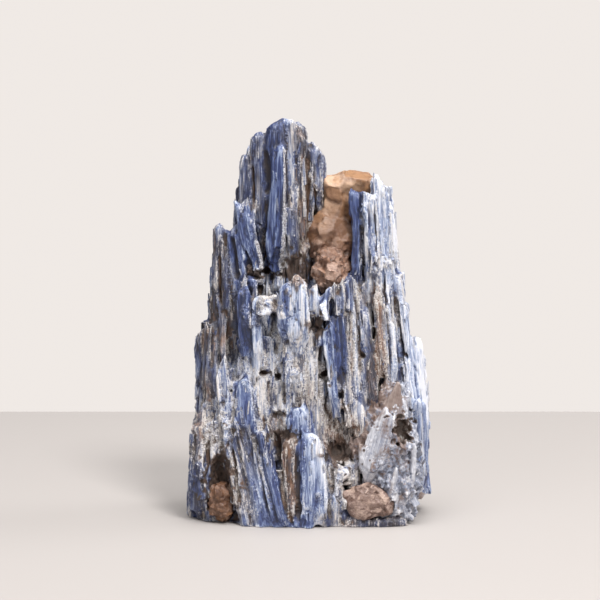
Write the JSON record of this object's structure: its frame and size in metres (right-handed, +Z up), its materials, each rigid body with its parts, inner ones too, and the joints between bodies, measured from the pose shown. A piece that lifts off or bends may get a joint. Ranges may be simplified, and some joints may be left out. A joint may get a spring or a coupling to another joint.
{
  "type": "kyanite blade cluster",
  "caption": "Upright cluster of fused, bladed kyanite crystals with a quartz vein, quartz lumps and a mica mass in its foot; stands on a flat cut base.",
  "frame": {"origin": "a point near the middle of the flat cut base, at the height that the specimen stands on", "axes": "+Z up along the blades, -Y towards the front with the quartz vein and the mica mass, +X to the right of that front"},
  "size_m": [0.0991, 0.0625, 0.1604],
  "materials": {
    "kyanite": "vitreous to pearly, streaked along the blades",
    "stained_quartz": "vitreous, iron stained",
    "pink_quartz": "dull vitreous",
    "rusty_quartz": "vitreous, rust stained",
    "mica": "pearly flakes"
  },
  "bodies": {
    "root": {"kyanite_blades": "kyanite", "quartz_vein": "stained_quartz", "quartz_foot_lump": "pink_quartz", "quartz_pocket_lump": "rusty_quartz", "mica_mass": "mica"}
  },
  "joints": []
}
